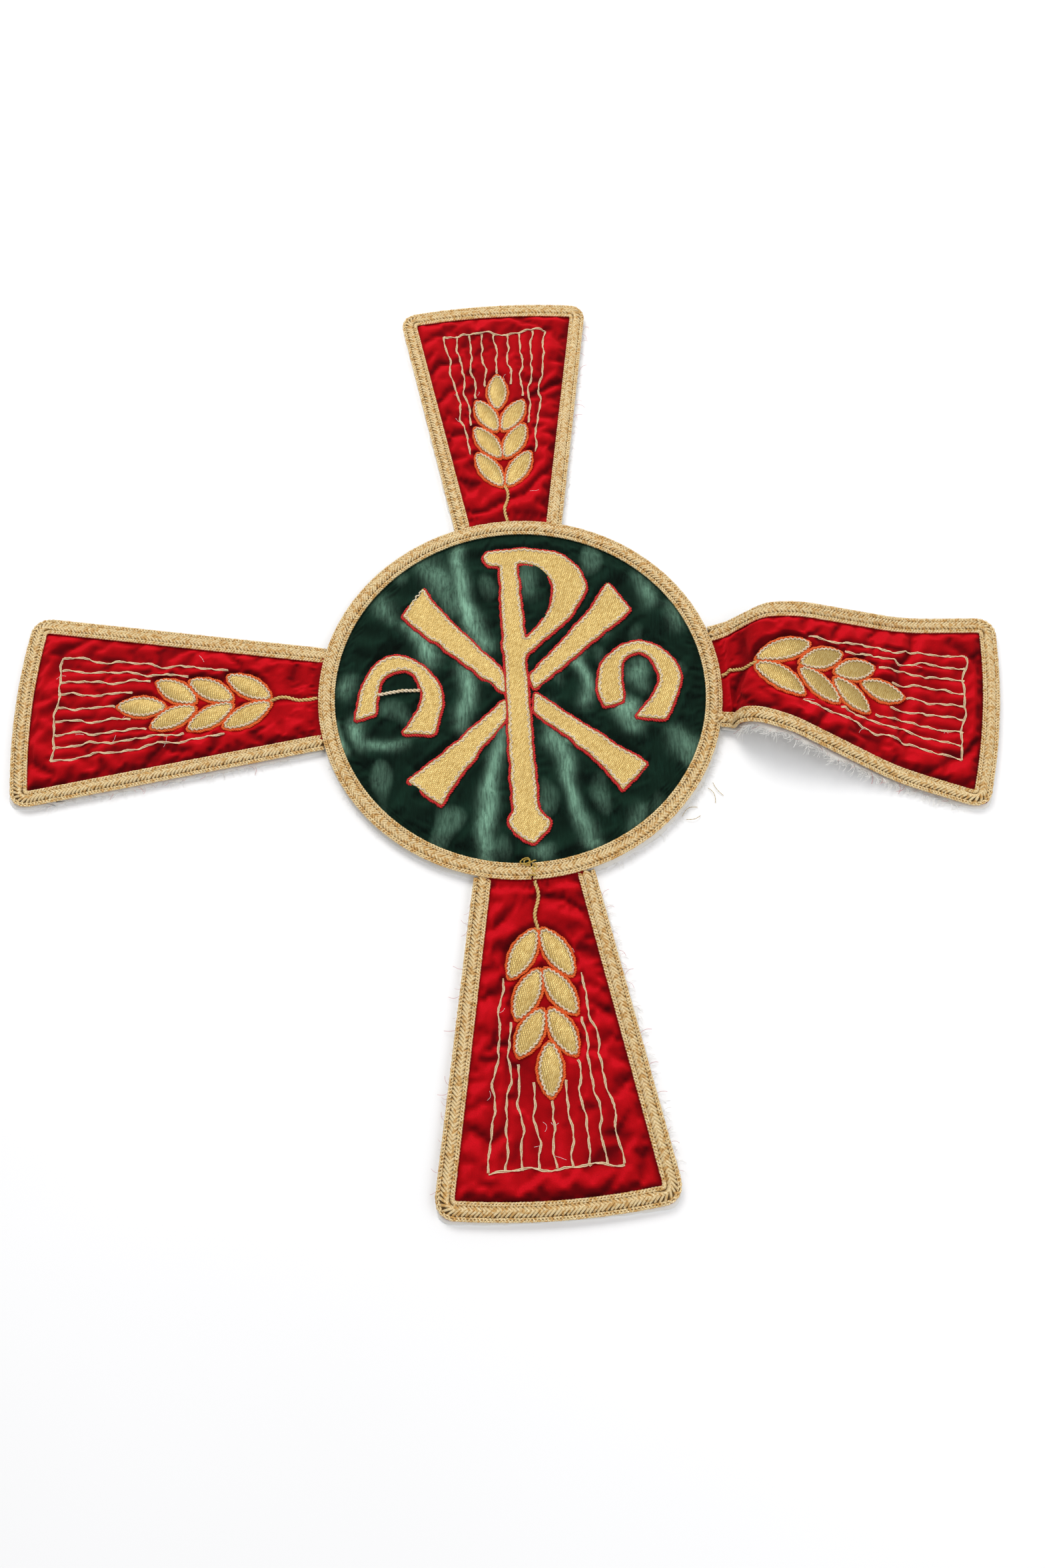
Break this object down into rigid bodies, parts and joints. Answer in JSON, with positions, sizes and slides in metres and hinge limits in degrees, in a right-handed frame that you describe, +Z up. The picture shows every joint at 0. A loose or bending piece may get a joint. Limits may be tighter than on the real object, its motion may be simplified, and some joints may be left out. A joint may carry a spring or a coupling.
{
  "type": "embroidered vestment cross",
  "caption": "Embroidered cross for the front of a chasuble: a green velvet roundel with a gold monogram and flared red velvet arms with wheat ears, edged in gold braid.",
  "frame": {"origin": "centre of the roundel's flat underside", "axes": "+Z up out of the embroidered face, +Y up the top arm, +X towards the right arm"},
  "size_m": [0.565, 0.575, 0.0267],
  "materials": {
    "white_backing": "matte",
    "interlining": "matte",
    "green_velvet": "matte",
    "red_velvet": "matte",
    "gold_braid": "satin",
    "gold_lame": "satin",
    "gold_cord": "satin",
    "gold_thread": "satin",
    "red_cord": "matte",
    "orange_cord": "matte"
  },
  "bodies": {
    "roundel": {"roundel_backing": "white_backing", "roundel_interlining": "interlining", "roundel_velvet": "green_velvet", "roundel_braid": "gold_braid", "rho": "gold_lame", "chi_upper_left": "gold_lame", "chi_upper_right": "gold_lame", "chi_lower_left": "gold_lame", "chi_lower_right": "gold_lame", "arched_letter": "gold_lame", "arched_letter_crossbar": "gold_cord", "horseshoe_letter": "gold_lame"},
    "top_arm": {"top_arm_backing": "white_backing", "top_arm_velvet": "red_velvet", "top_arm_braid": "gold_braid", "top_arm_stem": "gold_cord", "top_arm_awns": "gold_thread", "top_arm_grain_low_left": "gold_lame", "top_arm_grain_low_right": "gold_lame", "top_arm_grain_middle_left": "gold_lame", "top_arm_grain_middle_right": "gold_lame", "top_arm_grain_high_left": "gold_lame", "top_arm_grain_high_right": "gold_lame", "top_arm_grain_tip": "gold_lame"},
    "left_arm": {"left_arm_backing": "white_backing", "left_arm_velvet": "red_velvet", "left_arm_braid": "gold_braid", "left_arm_stem": "gold_cord", "left_arm_awns": "gold_thread", "left_arm_grain_low_left": "gold_lame", "left_arm_grain_low_right": "gold_lame", "left_arm_grain_middle_left": "gold_lame", "left_arm_grain_middle_right": "gold_lame", "left_arm_grain_high_left": "gold_lame", "left_arm_grain_high_right": "gold_lame", "left_arm_grain_tip": "gold_lame"},
    "bottom_arm": {"bottom_arm_backing": "white_backing", "bottom_arm_velvet": "red_velvet", "bottom_arm_braid": "gold_braid", "bottom_arm_stem": "gold_cord", "bottom_arm_awns": "gold_thread", "bottom_arm_grain_low_left": "gold_lame", "bottom_arm_grain_low_right": "gold_lame", "bottom_arm_grain_middle_left": "gold_lame", "bottom_arm_grain_middle_right": "gold_lame", "bottom_arm_grain_high_left": "gold_lame", "bottom_arm_grain_high_right": "gold_lame", "bottom_arm_grain_tip": "gold_lame"},
    "right_arm": {"right_arm_backing": "white_backing", "right_arm_velvet": "red_velvet", "right_arm_braid": "gold_braid", "right_arm_stem": "gold_cord", "right_arm_awns": "gold_thread", "right_arm_grain_low_left": "gold_lame", "right_arm_grain_low_right": "gold_lame", "right_arm_grain_middle_left": "gold_lame", "right_arm_grain_middle_right": "gold_lame", "right_arm_grain_high_left": "gold_lame", "right_arm_grain_high_right": "gold_lame", "right_arm_grain_tip": "gold_lame"}
  },
  "joints": [
    {"name": "top_arm_fold", "type": "hinge", "parent": "roundel", "child": "top_arm", "pos_m": [-0.00077, 0.1105, 0.0067], "axis": [1, 0.007, 0], "range_deg": [0, 90]},
    {"name": "left_arm_fold", "type": "hinge", "parent": "roundel", "child": "left_arm", "pos_m": [-0.11048, 0.00193, 0.0067], "axis": [0.0175, 0.9998, 0], "range_deg": [0, 90]},
    {"name": "bottom_arm_fold", "type": "hinge", "parent": "roundel", "child": "bottom_arm", "pos_m": [0.00116, -0.11049, 0.0067], "axis": [-0.9999, -0.0105, 0], "range_deg": [0, 90]},
    {"name": "right_arm_fold", "type": "hinge", "parent": "roundel", "child": "right_arm", "pos_m": [0.1105, 0.00096, 0.0067], "axis": [0.0087, -1, 0], "range_deg": [0, 90]}
  ]
}
